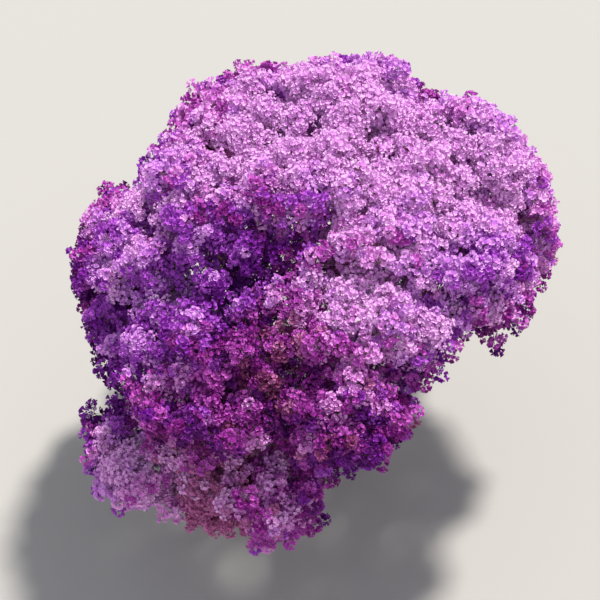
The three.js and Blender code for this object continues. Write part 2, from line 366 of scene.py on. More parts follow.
def tube(pts, radii, sides, relief=None, cap_start=False):
    """Vertices, quads and end triangles of a tapering limb; its far end comes to a point."""
    pts = np.asarray(pts, float)
    radii = np.asarray(radii, float)
    tan, na, nb = frames_along(pts)
    ang = np.linspace(0, 2 * math.pi, sides, endpoint=False)
    ring = np.cos(ang)[None, :, None] * na[:, None] + np.sin(ang)[None, :, None] * nb[:, None]
    r = np.repeat(radii[:, None], sides, 1)
    flat = (pts[:, None] + ring * r[..., None]).reshape(-1, 3)
    if relief is not None:
        r = r + relief(flat, np.repeat(radii, sides)).reshape(r.shape)
    verts = (pts[:, None] + ring * r[..., None]).reshape(-1, 3)
    m = len(pts)
    i = np.arange(m - 1)[:, None] * sides
    j = np.arange(sides)[None]
    k = (j + 1) % sides
    quads = np.stack([i + j, i + k, i + sides + k, i + sides + j], -1).reshape(-1, 4)
    tip = pts[-1] + tan[-1] * radii[-1]
    tris = [[(m - 1) * sides + a, (m - 1) * sides + (a + 1) % sides, m * sides] for a in range(sides)]
    extra = [tip]
    if cap_start:
        tris += [[(a + 1) % sides, a, m * sides + 1] for a in range(sides)]
        extra.append(pts[0])
    return np.concatenate([verts, np.array(extra)]), np.array(tris), quads


# ------------------------------------------------------------------ materials
def linear(r, g, b):
    out = []
    for c in (r, g, b):
        c /= 255
        out.append(c / 12.92 if c <= 0.04045 else ((c + 0.055) / 1.055) ** 2.4)
    return (*out, 1)


def plain(name, rgb, roughness, specular=0.3):
    m = bpy.data.materials.new(name)
    m.use_nodes = True
    b = m.node_tree.nodes["Principled BSDF"]
    b.inputs["Base Color"].default_value = linear(*rgb)
    b.inputs["Roughness"].default_value = roughness
    b.inputs["Specular IOR Level"].default_value = specular
    return m


# Lilac, orchid and mauve in lightness steps; the step a spray takes comes partly from painted light and painted shade
# below, so the pale and dark steps serve partly as lit and shaded copies of one blossom colour.
TINTS = [
    ("palest_lilac", (240, 186, 241)),
    ("light_lilac", (225, 160, 236)),
    ("light_orchid", (230, 158, 228)),
    ("mid_violet", (180, 84, 204)),
    ("mid_orchid", (194, 88, 192)),
    ("deep_violet", (140, 40, 168)),
    ("deep_orchid", (152, 44, 150)),
    ("dark_violet", (108, 26, 126)),
    ("mauve", (202, 122, 178)),
    ("dark_mauve", (144, 64, 118)),
]
tint_materials = [plain("blossom_" + n, c, 0.62, 0.25) for n, c in TINTS]
twig_material = plain("twig_bark", (112, 92, 78), 0.85, 0.2)


def bark_material():
    m = bpy.data.materials.new("jacaranda_bark")
    m.use_nodes = True
    t = m.node_tree
    b = t.nodes["Principled BSDF"]
    b.inputs["Specular IOR Level"].default_value = 0.2
    where = t.nodes.new("ShaderNodeTexCoord")
    stretch = t.nodes.new("ShaderNodeMapping")
    stretch.inputs["Scale"].default_value = (1, 1, 0.28)
    t.links.new(where.outputs["Object"], stretch.inputs["Vector"])
    fine = t.nodes.new("ShaderNodeTexNoise")
    fine.inputs["Scale"].default_value = 22
    fine.inputs["Detail"].default_value = 7
    fine.inputs["Roughness"].default_value = 0.62
    t.links.new(stretch.outputs["Vector"], fine.inputs["Vector"])
    blot = t.nodes.new("ShaderNodeTexNoise")
    blot.inputs["Scale"].default_value = 2.6
    blot.inputs["Detail"].default_value = 3
    t.links.new(where.outputs["Object"], blot.inputs["Vector"])
    ramp = t.nodes.new("ShaderNodeValToRGB")
    ramp.color_ramp.elements[0].position = 0.33
    ramp.color_ramp.elements[0].color = linear(78, 66, 57)
    ramp.color_ramp.elements[1].position = 0.66
    ramp.color_ramp.elements[1].color = linear(164, 148, 132)
    t.links.new(fine.outputs["Fac"], ramp.inputs["Fac"])
    tone = t.nodes.new("ShaderNodeValToRGB")
    tone.color_ramp.elements[0].position = 0.35
    tone.color_ramp.elements[0].color = linear(178, 164, 148)
    tone.color_ramp.elements[1].position = 0.7
    tone.color_ramp.elements[1].color = linear(235, 228, 220)
    t.links.new(blot.outputs["Fac"], tone.inputs["Fac"])
    mixc = t.nodes.new("ShaderNodeMix")
    mixc.data_type = "RGBA"
    mixc.blend_type = "MULTIPLY"
    mixc.inputs["Factor"].default_value = 0.8
    t.links.new(ramp.outputs["Color"], mixc.inputs[6])
    t.links.new(tone.outputs["Color"], mixc.inputs[7])
    t.links.new(mixc.outputs[2], b.inputs["Base Color"])
    rough = t.nodes.new("ShaderNodeMapRange")
    rough.inputs["To Min"].default_value = 0.98
    rough.inputs["To Max"].default_value = 0.78
    t.links.new(fine.outputs["Fac"], rough.inputs["Value"])
    t.links.new(rough.outputs["Result"], b.inputs["Roughness"])
    bump = t.nodes.new("ShaderNodeBump")
    bump.inputs["Strength"].default_value = 0.55
    bump.inputs["Distance"].default_value = 0.012
    t.links.new(fine.outputs["Fac"], bump.inputs["Height"])
    t.links.new(bump.outputs["Normal"], b.inputs["Normal"])
    return m


bark = bark_material()


# ------------------------------------------------------------------ bark relief
def fissures(p, radius):
    """Height of the bark, in metres, at points p on limbs of that radius."""
    depth = np.clip(radius * 0.05, 0.002, 0.016)
    q = p * np.array([1, 1, 0.3]) / 0.055
    warp = (noise(p / 0.3, 3)[:, None] - 0.5) * 1.6
    ridge = 1 - np.abs(noise(q + warp, 5) * 2 - 1)
    plates = noise(p * np.array([1, 1, 0.55]) / 0.12, 9)
    lumps = noise(p / 0.5, 12) - 0.5
    return depth * (0.9 - 1.6 * ridge**3 + 0.5 * (plates - 0.5)) + radius * 0.1 * lumps


def trunk_radius(z, angle):
    flare = np.exp(-z / FLARE_HEIGHT)
    ribs = 1 + FLARE_RIB_DEPTH * flare * np.cos(FLARE_RIBS * angle + 0.7)
    shaft = TRUNK_RADIUS * 1.04 + (TRUNK_RADIUS * 0.97 - TRUNK_RADIUS * 1.04) * np.minimum(1, z / 1.5)
    x = np.clip((z - 1.4) / (TRUNK_HEIGHT - 1.4), 0, 1)
    swell = (TRUNK_TOP_RADIUS - TRUNK_RADIUS) * x * x * (3 - 2 * x)
    return (shaft + swell + (FLARE_RADIUS - TRUNK_RADIUS) * flare) * ribs


def closed_trunk(sides=64, steps=90):
    z = TRUNK_HEIGHT * np.linspace(0, 1, steps)
    ang = np.linspace(0, 2 * math.pi, sides, endpoint=False)
    verts = []
    for h in z:
        a = trunk_axis(h)
        r = trunk_radius(h, ang)
        r = r * (1 - 0.35 * max(0.0, (h - 2.2) / 0.25) ** 2)
        verts.append(np.stack([a[0] + r * np.cos(ang), a[1] + r * np.sin(ang), np.full(sides, h)], 1))
    verts = np.concatenate(verts + [np.array([trunk_axis(0)]), np.array([trunk_axis(TRUNK_HEIGHT) + [0, 0, 0.05]])])
    i = np.arange(steps - 1)[:, None] * sides
    j = np.arange(sides)[None]
    k = (j + 1) % sides
    quads = np.stack([i + j, i + k, i + sides + k, i + sides + j], -1).reshape(-1, 4)
    b, t = steps * sides, steps * sides + 1
    tris = [[(a + 1) % sides, a, b] for a in range(sides)]
    tris += [[(steps - 1) * sides + a, (steps - 1) * sides + (a + 1) % sides, t] for a in range(sides)]
    return verts, np.array(tris), quads


def even_out(mesh_obj, where, rounds):
    """Smooths a mesh by the mean of each vertex's neighbours, by the weight at each vertex."""
    me = mesh_obj.data
    n = len(me.vertices)
    co = np.zeros(n * 3)
    me.vertices.foreach_get("co", co)
    co = co.reshape(-1, 3)
    e = np.zeros(len(me.edges) * 2, np.int32)
    me.edges.foreach_get("vertices", e)
    e = e.reshape(-1, 2)
    degree = np.bincount(e.ravel(), minlength=n)[:, None]
    w = where(co)[:, None]
    for _ in range(rounds):
        acc = np.zeros_like(co)
        for k in range(3):
            acc[:, k] = np.bincount(e[:, 0], co[e[:, 1], k], n) + np.bincount(e[:, 1], co[e[:, 0], k], n)
        co += (acc / degree - co) * 0.5 * w
    return co


STUB = 1.5  # how far up each bough the one-piece fork runs
VOXEL = 0.033


def fork_mesh():
    """Trunk and the feet of the boughs as one skin, with filleted crotches."""
    pile = Pile()
    pile.add(*closed_trunk())
    for limb in [l for l in limbs if l.kind == "bough"]:
        u = np.linspace(0, (STUB + 0.12) / limb.length, 40)
        s = u * limb.length
        fade = 1 + 0.22 * np.exp(-s / 0.35) - 0.3 * np.clip((s - (STUB - 0.22)) / 0.34, 0, 1)
        pile.add(*tube(limb.at(u), limb.thick(u) * fade, 24, cap_start=True))
    obj = pile.build("trunk_and_fork", bark, smooth=True)
    mod = obj.modifiers.new("skin", "REMESH")
    mod.mode = "VOXEL"
    mod.voxel_size = VOXEL
    dg = bpy.context.evaluated_depsgraph_get()
    me = bpy.data.meshes.new_from_object(obj.evaluated_get(dg))
    obj.modifiers.clear()
    obj.data = me
    me.materials.clear()
    me.materials.append(bark)
    top = trunk_axis(TRUNK_HEIGHT)

    def near_fork(p):
        d = np.linalg.norm((p - top) * [1, 1, 0.8], axis=1)
        return np.clip(1.25 - d / 0.9, 0.12, 1)

    co = even_out(obj, near_fork, 26)
    me.vertices.foreach_set("co", co.ravel())
    me.update()
    normal = np.zeros(len(co) * 3)
    me.vertices.foreach_get("normal", normal)
    normal = normal.reshape(-1, 3)
    radius = np.where(co[:, 2] < TRUNK_HEIGHT, TRUNK_RADIUS, 0.2)
    lift = np.clip(co[:, 2] / 0.04, 0, 1)
    co = co + normal * (fissures(co, radius) * lift)[:, None]
    low = co[:, 2] < 0.012
    co[low, 2] = 0
    me.vertices.foreach_set("co", co.ravel())
    me.update()
    me.polygons.foreach_set("use_smooth", np.ones(len(me.polygons), bool))
    return obj


trunk = fork_mesh()
print("trunk_and_fork triangles", sum(len(p.vertices) - 2 for p in trunk.data.polygons))

boughs = Pile()
branches = Pile()
for limb in limbs:
    is_bough = limb.kind == "bough"
    start = (STUB - 0.45) / limb.length if is_bough else 0.0
    steps = int(limb.length * (1 - start) / (0.075 if is_bough else 0.1))
    u = np.linspace(start, 1, steps)
    s = u * limb.length
    if is_bough:
        swell = 1 - 0.28 * np.clip(1 - (s - (STUB - 0.45)) / 0.34, 0, 1)
    else:
        swell = 1 + 0.55 * np.exp(-s / 0.16)
    r = limb.thick(u) * swell * (1 + 0.05 * np.sin(s * 3.1 + len(limb.name)) * np.clip(s, 0, 1))
    pts = limb.at(u)
    wobble = np.stack([noise(np.stack([s * 1.3, s * 0 + k * 7.7, s * 0 + sum(map(ord, limb.name))], 1), 20 + k) - 0.5 for k in range(3)], 1)
    envelope = np.clip((s - (STUB + 0.1 if is_bough else 0)) / 0.8, 0, 1) * np.clip((limb.length - s) / 0.8, 0, 1)
    pts = pts + wobble * (0.16 * envelope)[:, None]
    if not is_bough:
        # its foot stays inside the bough, whose own line wanders a little
        bough, k = limb.parent, limb.foot_u
        wander = [np.interp(k, bough.path_u, bough.path[:, c]) for c in range(3)] - bough.at(k)[0]
        pts = pts + wander * np.clip(1 - s / 0.9, 0, 1)[:, None]
        r = np.minimum(r, bough.thick(k) * 0.78 + s * 0.55)
    limb.path, limb.path_u = pts, u
    sides = 20 if is_bough else 11
    (boughs if is_bough else branches).add(*tube(pts, r, sides, relief=fissures))
bough_obj = boughs.build("boughs", bark, smooth=True)
branch_obj = branches.build("branches", bark, smooth=True)
print("bark triangles", boughs.triangles(), branches.triangles())


def limb_point(limb, u):
    return np.array([np.interp(u, limb.path_u, limb.path[:, k]) for k in range(3)])


# ------------------------------------------------------------------ where the tufts of blossom stand
class Mass:
    def __init__(self, entry):
        self.__dict__.update(entry)
        me = nodes[self.name].data
        me.calc_loop_triangles()
        co = np.zeros(len(me.vertices) * 3, np.float32)
        me.vertices.foreach_get("co", co)
        self.co = co.reshape(-1, 3).astype(float)
        tri = np.zeros(len(me.loop_triangles) * 3, np.int32)
        me.loop_triangles.foreach_get("vertices", tri)
        self.tri = tri.reshape(-1, 3)
        self.bvh = BVHTree.FromPolygons(self.co.tolist(), self.tri.tolist())
        self.middle = (self.co.min(0) + self.co.max(0)) / 2
        self.ball = np.linalg.norm(self.co - self.middle, axis=1).max()

    def sample(self, density):
        a, b, c = (self.co[self.tri[:, k]] for k in range(3))
        n = np.cross(b - a, c - a)
        area = np.linalg.norm(n, axis=1) / 2
        count = int(area.sum() * density)
        pick = rng.choice(len(area), count, p=area / area.sum())
        u, v = rng.random(count), rng.random(count)
        flip = u + v > 1
        u[flip], v[flip] = 1 - u[flip], 1 - v[flip]
        p = a[pick] + (b - a)[pick] * u[:, None] + (c - a)[pick] * v[:, None]
        return p, n[pick] / (np.linalg.norm(n[pick], axis=1)[:, None] + 1e-12)

    def depth(self, p):
        """How deep p is inside, negative outside."""
        hit, normal, _, dist = self.bvh.find_nearest(Vector(p))
        return dist if (hit - Vector(p)).dot(normal) > 0 else -dist


masses = [Mass(m) for m in plan]
for a in masses:
    a.near = [b for b in masses if b is not a and np.linalg.norm(a.middle - b.middle) < a.ball + b.ball + 0.3]

INNER = np.array([0.15, 0.0, 6.6])
BLEND = 0.34  # how softly neighbouring masses run into one another
SKIN = -0.12  # where the heads' outline lies, inside the masses


def crown_skin(p, near):
    """Signed distance from the softly joined masses at p, and the way out."""
    dist, ways = [], []
    for o in near:
        hit, normal, _, d = o.bvh.find_nearest(Vector(p))
        away = p - np.array(hit)
        inside = float(np.dot(away, normal)) < 0
        dist.append(-d if inside else d)
        ways.append(-unit(away) if inside else unit(away) if d > 1e-5 else np.array(normal))
    dist = np.array(dist)
    w = np.exp(-(dist - dist.min()) / BLEND)
    return dist.min() - BLEND * math.log(w.sum()), (w[:, None] * np.array(ways)).sum(0) / w.sum()


spots = []
for m in masses:
    m.sites = []
    p, n = m.sample(11)
    for k in range(len(p)):
        near = [o for o in m.near if np.linalg.norm(p[k] - o.middle) < o.ball + 0.8]
        if any(o.depth(p[k]) > 0.25 for o in near):
            continue
        q = p[k]
        for _ in range(3):
            d, way = crown_skin(q, [m] + near)
            d -= SKIN
            q = q - way * d / max(0.25, float(way @ way))
            if abs(d) < 0.02:
                break
        spots.append((q, unit(way), m))
rng.shuffle(spots)
spot_p = np.array([s[0] for s in spots])
spot_n = np.array([s[1] for s in spots])
outward = np.einsum("ij,ij->i", spot_n, (spot_p - INNER) / np.linalg.norm(spot_p - INNER, axis=1)[:, None])


def spaced(candidates, gap, taken=()):
    """Indices of candidates, in order, that keep their distance from one another and from taken."""
    taken = [np.array(t) for t in taken]
    kept = []
    cells = {}

    def cell(p):
        return tuple(np.floor(p / gap).astype(int))

    for t in taken:
        cells.setdefault(cell(t), []).append(t)
    for k in candidates:
        q = spot_p[k]
        i, j, l = cell(q)
        near = [t for a in (-1, 0, 1) for b in (-1, 0, 1) for c in (-1, 0, 1) for t in cells.get((i + a, j + b, l + c), ())]
        if near and ((np.array(near) - q) ** 2).sum(1).min() < gap * gap:
            continue
        cells.setdefault((i, j, l), []).append(q)
        kept.append(k)
    return kept


sites = []
outer_k = spaced(np.flatnonzero(outward >= 0.05), HEADS["outer"][0])
between_k = spaced(np.flatnonzero(outward >= -0.05), HEADS["between"][0], spot_p[outer_k])
inner_k = spaced(np.flatnonzero(outward < 0.05), HEADS["inner"][0], spot_p[outer_k])
for where_, ks in (("outer", outer_k), ("between", between_k), ("inner", inner_k)):
    for k in ks:
        site = {"p": spot_p[k], "n": spot_n[k], "where": where_, "mass": spots[k][2]}
        site["mass"].sites.append(site)
        sites.append(site)
for m in masses:
    p, n = m.sample(3)
    deep = []
    for k in range(len(p)):
        q = m.middle + (p[k] - m.middle) * DEEP_SHRINK
        if not deep or np.linalg.norm(np.array([s["p"] for s in deep]) - q, axis=1).min() > HEADS["deep"][0]:
            deep.append({"p": q, "n": n[k], "where": "deep", "mass": m})
    m.sites += deep
    sites += deep
# short side shoots with a small head each where the limbs run up to their masses
near_mass = lambda q, slack: any(np.linalg.norm(q - o.middle) < o.ball and o.depth(q) > slack for o in masses)
limb_sites = []
for limb in limbs:
    for u in np.arange(0.60, 0.98, 0.34 / limb.length):
        q = limb_point(limb, u)
        if near_mass(q, 0.0) or q[2] < 4.6:
            continue
        along = unit(limb_point(limb, min(1, u + 0.03)) - q)
        away = unit(np.cross(along, rng.normal(0, 1, 3)))
        away = unit(away + np.array([0, 0, 0.35]) + along * 0.7)
        p = q + away * (0.45 + 0.4 * rng.random())
        if limb_sites and np.linalg.norm(np.array([t["p"] for t in limb_sites]) - p, axis=1).min() < HEADS["limb"][0]:
            continue
        limb_sites.append({"p": p, "n": away, "where": "limb", "mass": None, "from": (q, along)})
sites += limb_sites


# ------------------------------------------------------------------ heads, sprays and flowers
panicles = []  # foot, axis, length, site, how high on its head
CROWN_LO = np.array(cad_lo) - 0.2  # the sprays end inside this box
CROWN_HI = np.array(cad_hi) + 0.2
stems = []  # a, b, ra, rb


def bear(s):
    """Grows the sprays of one head."""
    n = s["n"]
    spacing, radius, sprays, _, round_to, _ = HEADS[s["where"]]
    out = unit(s["p"] - INNER)
    axis = unit(n * 0.8 + np.array([0, 0, 0.38]) + out * 0.2)
    size = radius * (0.84 + 0.34 * rng.random())
    push = float(np.clip(rng.normal(0, 0.12), -0.25, 0.17)) if s["where"] == "outer" else -0.36 if s["where"] == "between" else 0.0
    foot = s["p"] - n * (size * 0.92 - push)
    s["foot"] = foot
    s["tone"] = rng.random()
    s["size"] = size
    count = max(4, int(round(sprays * (size / radius) ** 2 * (0.75 if s["where"] == "outer" and n[2] < -0.45 else 1))))
    side = unit(np.cross(axis, [0.31, 0.77, 0.55]))
    other = np.cross(axis, side)
    turn = rng.random() * 6.28
    for i in range(count):
        c = 1 - (i + 0.5) / count * (1 - round_to)
        ring = math.sqrt(max(0, 1 - c * c))
        a = turn + i * 2.39996 + rng.normal(0, 0.22)
        d = unit(axis * c + (side * math.cos(a) + other * math.sin(a)) * ring + rng.normal(0, 0.09, 3))
        if d[2] < -0.6:
            d = unit(d + [0, 0, 0.3])
        length = size * (0.68 + 0.22 * rng.random())
        start = foot + d * size * 0.22
        tip = start + d * length
        if (tip < CROWN_LO).any() or (tip > CROWN_HI).any():
            continue
        panicles.append((start, d, length, s, c))
        stems.append((foot, start + d * length * 0.7, 0.011, 0.004))


for s in sites:
    bear(s)

# Where the crown would still show daylight, seen from the front, from above or
# from round about, a small head goes some way in behind the outer surface; a hole right
# through, ringed by masses, takes one on a side shoot of the nearest limb.
whole = BVHTree.FromPolygons(
    np.concatenate([m.co for m in masses]).tolist(),
    np.concatenate([m.tri + k for m, k in zip(masses, np.cumsum([0] + [len(m.co) for m in masses[:-1]]))]).tolist(),
)
face_mass = np.concatenate([np.full(len(m.tri), i) for i, m in enumerate(masses)])
wood_line = [(limb, u, limb_point(limb, u)) for limb in limbs for u in np.linspace(0.35, 0.98, 14) if u >= limb.path_u[0]]
wood_at = np.array([w[2] for w in wood_line])
HALF = 8.6
gap_sites = []


def fill(view, cover, enough, cell, raised, wide, eye=None):
    """Puts small heads where the cover seen along one direction, or from an eye, is thinner than enough."""
    ex = unit(np.cross([0, 0, 1.0], view))
    ey = np.cross(view, ex)
    grid = len(cover)
    mid_ = (np.arange(grid) + 0.5) * cell - HALF

    def line_of_sight(x, y):
        start = CROWN_CENTRE + ex * x + ey * y
        return start, view if eye is None else unit(eye - start)

    hits = {}
    solid = np.zeros((grid, grid), bool)
    for i in range(grid):
        for j in range(grid):
            if cover[i, j] > enough:
                solid[i, j] = True
                continue
            start, to_eye = line_of_sight(mid_[i], mid_[j])
            hit, normal, face, _ = whole.ray_cast(Vector(start + to_eye * 12), Vector(-to_eye))
            if hit is not None:
                solid[i, j] = True
                hits[i, j] = (np.array(hit), np.array(normal), face)
    reach_ = int(1.3 / cell)
    found = 0
    for i, j in rng.permutation(np.argwhere(cover < enough)):
        i, j = int(i), int(j)
        if cover[i, j] >= enough:
            continue
        start, to_eye = line_of_sight(mid_[i], mid_[j])
        if (i, j) in hits:
            q, normal, face = hits[i, j]
            if normal @ to_eye < 0.04:
                continue
            p = q - to_eye * (0.45 + 0.5 * rng.random())
            site = {"p": p, "n": unit(normal + to_eye), "where": "gap", "mass": masses[face_mass[face]]}
            site["mass"].sites.append(site)
        else:
            if solid[i, j] or i < reach_ or j < reach_ or i >= grid - reach_ or j >= grid - reach_:
                continue
            arms = (solid[i - reach_ : i, j], solid[i + 1 : i + 1 + reach_, j], solid[i, j - reach_ : j], solid[i, j + 1 : j + 1 + reach_])
            if not all(a.any() for a in arms):
                continue
            away = wood_at - start
            off = away - (away @ to_eye)[:, None] * to_eye
            k = int(np.argmin((off**2).sum(1) + 0.02 * np.maximum(0, 6.5 - wood_at[:, 2]) ** 2))
            if np.linalg.norm(off[k]) > 1.5:
                continue
            limb, u, q = wood_line[k]
            p = q - off[k] + to_eye * 0.3
            if p[2] < (4.4 if eye is not None or view @ FRONT > 0.99 else 5.8):
                continue
            along_ = unit(limb_point(limb, min(1, u + 0.03)) - limb_point(limb, max(0, u - 0.03)))
            site = {"p": p, "n": to_eye, "where": "gap", "mass": None, "from": (q, along_)}
            limb_sites.append(site)
        gap_sites.append(site)
        bear(site)
        found += 1
        near_i, near_j = slice(max(0, i - wide), i + wide + 1), slice(max(0, j - wide), j + wide + 1)
        cover[near_i, near_j] += raised
    return found


FRONT_EYE = np.array([8.53, -59.76, 69.0])
FRONT = unit(FRONT_EYE - CROWN_CENTRE)
ABOVE = direction(0, 88)
ROUND = [direction(a, e) for a, e in zip(range(-70, 290, 40), [20, 35, 12, 28, 20, 35, 12, 28, 20])]


def raster(dots, weights, view, cell, eye=None):
    ex = unit(np.cross([0, 0, 1.0], view))
    ey = np.cross(view, ex)
    grid = int(2 * HALF / cell)
    if eye is not None:
        dots = eye + (dots - eye) * ((CROWN_CENTRE - eye) @ view / ((dots - eye) @ view))[:, None]
    dots = dots - CROWN_CENTRE
    cover, _, _ = np.histogram2d(dots @ ex, dots @ ey, bins=grid, range=[[-HALF, -HALF + grid * cell]] * 2, weights=weights)
    return cover


# first by the lines of the sprays
for view, enough in [(FRONT, 8.0), (ABOVE, 5.5)] + [(v, 4.5) for v in ROUND]:
    pa = np.array([p[0] for p in panicles])
    pd = np.array([p[1] * p[2] for p in panicles])
    dots = (pa[:, None] + pd[:, None] * rng.uniform(0.15, 1.0, (len(pa), 12, 1)) + rng.normal(0, 0.07, (len(pa), 12, 3))).reshape(-1, 3)
    cover = raster(dots, None, view, 0.16)
    cover = sum(np.roll(np.roll(cover, i, 0), j, 1) for i in (-1, 0, 1) for j in (-1, 0, 1)) / 9
    fill(view, cover, enough, 0.16, 3.4, 2)


def flowers_of(first):
    """Places the flowers of the sprays from number first on."""
    some = panicles[first:]
    where = np.array([p[3]["where"] for p in some])
    foot = np.array([p[0] for p in some])
    axis = np.array([p[1] for p in some])
    length = np.array([p[2] for p in some])
    counts = np.array([HEADS[w][3] for w in where]) + rng.integers(-2, 3, len(some))
    flower = np.array([HEADS[w][5] for w in where])
    owner = np.repeat(np.arange(len(some)), counts)
    order = np.concatenate([np.arange(c) for c in counts])
    share = (order + 0.4 + rng.random(len(order)) * 0.3) / counts[owner]
    helper = np.where(np.abs(axis[:, 2:3]) < 0.9, [[0, 0, 1.0]], [[1.0, 0, 0]])
    ea = np.cross(axis, helper)
    ea /= np.linalg.norm(ea, axis=1)[:, None]
    eb = np.cross(axis, ea)
    ang = order * 2.39996 + rng.random(len(some))[owner] * 6.28 + rng.normal(0, 0.2, len(order))
    radial = ea[owner] * np.cos(ang)[:, None] + eb[owner] * np.sin(ang)[:, None]
    along = 0.12 + 0.88 * share
    width = 0.12 * (0.8 + 0.4 * rng.random(len(some)))[owner] * np.sqrt(np.clip(1.02 - share, 0, 1)) * (0.7 + 0.5 * share)
    base = foot[owner] + axis[owner] * (along * length[owner])[:, None] + radial * width[:, None]
    tilt = 0.75 + 0.75 * share
    face = radial * 0.75 + axis[owner] * tilt[:, None] + rng.normal(0, 0.17, radial.shape)
    face /= np.linalg.norm(face, axis=1)[:, None]
    size = flower[owner] * (0.82 + 0.36 * rng.random(len(order))) * (1.06 - 0.25 * share)
    kind = rng.choice(4, len(order), p=SHARES)
    kind = np.where((kind == 0) & (where[owner] != "outer"), 1, kind)
    return [owner + first, base, face, size, kind]


# then by the flowers themselves, finer, against small holes
SHARES = [0.20, 0.34, 0.12, 0.34]
FINE = 0.09
flowers = flowers_of(0)
for view, enough, eye in [(FRONT, 0.9, FRONT_EYE)] * 3 + [(ABOVE, 0.6, None)] + [(v, 0.45, None) for v in ROUND[::2]]:
    _, base, face, size, _ = flowers
    seen = 0.62 * size**2 * (0.4 + 0.6 * np.abs(face @ view)) / FINE**2
    cover = raster(base + face * (size * 0.6)[:, None], seen, view, FINE, eye)
    cover = sum(w * np.roll(np.roll(cover, i, 0), j, 1) for i, j, w in [(a, b, (2 - abs(a)) * (2 - abs(b)) / 16) for a in (-1, 0, 1) for b in (-1, 0, 1)])
    before = len(panicles)
    thin = int((cover[50:-50, 50:-50] < enough).sum())
    print("fine holes", thin, fill(view, cover, enough, FINE, 0.8, 3, eye))
    if len(panicles) > before:
        flowers = [np.concatenate(pair) for pair in zip(flowers, flowers_of(before))]
owner, base, face, size, kind = flowers
sites += gap_sites
for w in HEADS:
    print("heads", w, sum(s["where"] == w for s in sites))
print("sprays", len(panicles))

# Which tint a spray takes: painted light and painted shade, lighter at the top of each head and of the crown and
# darker to its low front and its inside;
# named places are lighter or darker, partly as painted light and shade, and warmer or cooler.
P = np.array([p[0] + p[1] * p[2] * 0.5 for p in panicles])
rel = (P - CROWN_CENTRE) / np.array([REACH_ACROSS, REACH_ALONG, REACH_UP])
real_dir = (P - CROWN_CENTRE) / np.linalg.norm(P - CROWN_CENTRE, axis=1)[:, None]
head_tone = np.array([p[3]["tone"] for p in panicles])
head_top = np.array([p[4] for p in panicles])
where = np.array([p[3]["where"] for p in panicles])
# lighter towards the top and the right of the crown: painted light from the sun's side
light = 0.50 + 0.24 * rel[:, 2] + 0.02 * rel[:, 0]
warm = 0.1 + 0.0 * light
# named places shift the lightness, partly as painted light and painted shade, and the warmth as the blossom's own hue
for azimuth, elevation, spread, lighter, warmer in PLACES:
    away = np.degrees(np.arccos(np.clip(real_dir @ direction(azimuth, elevation), -1, 1)))
    much = np.exp(-((away / spread) ** 2))
    light = light + lighter * much
    warm = warm + warmer * much
even = 1 - 0.5 * np.clip(rel[:, 2], 0, 1)  # the sunlit top is the most even
# the noise and the head tone are tone that differs at random; the tops of the heads are lighter as painted highlight
light = light + 0.22 * (noise(P / 1.3, 31) - 0.5) + 0.16 * (head_tone - 0.5) + 0.36 * (head_top - 0.4) * even
light = light + rng.normal(0, 0.06, len(P))
# sprays between heads, inside the crown, deep inside, on side shoots and in filled holes are darker: painted shade
# where they lie in recesses
for w, painted_shade in (("between", 0.26), ("inner", 0.22), ("deep", 0.38), ("limb", 0.26), ("gap", 0.30)):
    light = light - np.where(where == w, painted_shade, 0) * even
warm = warm + 1.0 * (noise(P / 1.9, 37) - 0.5) + rng.normal(0, 0.2, len(P))
step = np.digitize(light, [0.14, 0.34, 0.56, 0.78])  # dark, deep, mid, light, palest
tints = np.select(
    [step == 4, (step == 3) & (warm < 0.1), step == 3, (step == 2) & (warm < 0.1), step == 2, (step == 1) & (warm < 0.1), step == 1],
    [0, 1, 2, 3, 4, 5, 6],
    7,
)
brown = (warm > 0.75) & (rel[:, 2] < 0.8)
tints = np.where(brown & (step >= 2), 8, np.where(brown & (step < 2), 9, tints))


def flower_templates():
    a = np.arange(5) * 2 * math.pi / 5
    # a tube with five flared lobes
    lobes = [[0, 0, 0]]
    lobes += [[0.15 * math.cos(t), 0.15 * math.sin(t), 0.55] for t in a]
    for t in a:
        for d in (-0.5, 0.5):
            lobes.append([0.54 * math.cos(t + d), 0.54 * math.sin(t + d), 0.98 + (0.05 if d > 0 else -0.05)])
    lf = [[0, 1 + i, 1 + (i + 1) % 5] for i in range(5)] + [[1 + i, 6 + 2 * i, 7 + 2 * i] for i in range(5)]
    # five lobes spread from one throat
    star = [[0, 0, 0.1]]
    for k, t in enumerate(a):
        r = 0.58 if k in (0, 2, 3) else 0.5
        for d in (-0.5, 0.5):
            star.append([r * math.cos(t + d), r * math.sin(t + d), 0.66 + (0.06 if d > 0 else -0.06)])
    sf = [[0, 1 + 2 * i, 2 + 2 * i] for i in range(5)]
    # a flared trumpet, its rim uneven
    horn = [[0, 0, 0]]
    for k, t in enumerate(a):
        r, h = [(0.56, 0.80), (0.50, 0.86), (0.58, 0.74), (0.49, 0.88), (0.57, 0.78)][k]
        horn.append([r * math.cos(t + 0.08 * (-1) ** k), r * math.sin(t + 0.08 * (-1) ** k), h])
    hf = [[0, 1 + i, 1 + (i + 1) % 5] for i in range(5)]
    # a half-open bell
    bell = [[0, 0, 0]] + [[0.33 * math.cos(t), 0.33 * math.sin(t), 0.92 + 0.08 * math.cos(3 * t)] for t in a]
    bf = [[0, 1 + i, 1 + (i + 1) % 5] for i in range(5)]
    return [(np.array(v, float), np.array(f)) for v, f in ((lobes, lf), (star, sf), (bell, bf), (horn, hf))]


TEMPLATES = flower_templates()
spin = rng.random(len(owner)) * 6.28
h2 = np.where(np.abs(face[:, 2:3]) < 0.9, [[0, 0, 1.0]], [[1.0, 0, 0]])
fa = np.cross(face, h2)
fa /= np.linalg.norm(fa, axis=1)[:, None]
fb = np.cross(face, fa)
fa, fb = fa * np.cos(spin)[:, None] + fb * np.sin(spin)[:, None], fb * np.cos(spin)[:, None] - fa * np.sin(spin)[:, None]
print("flowers", len(owner))

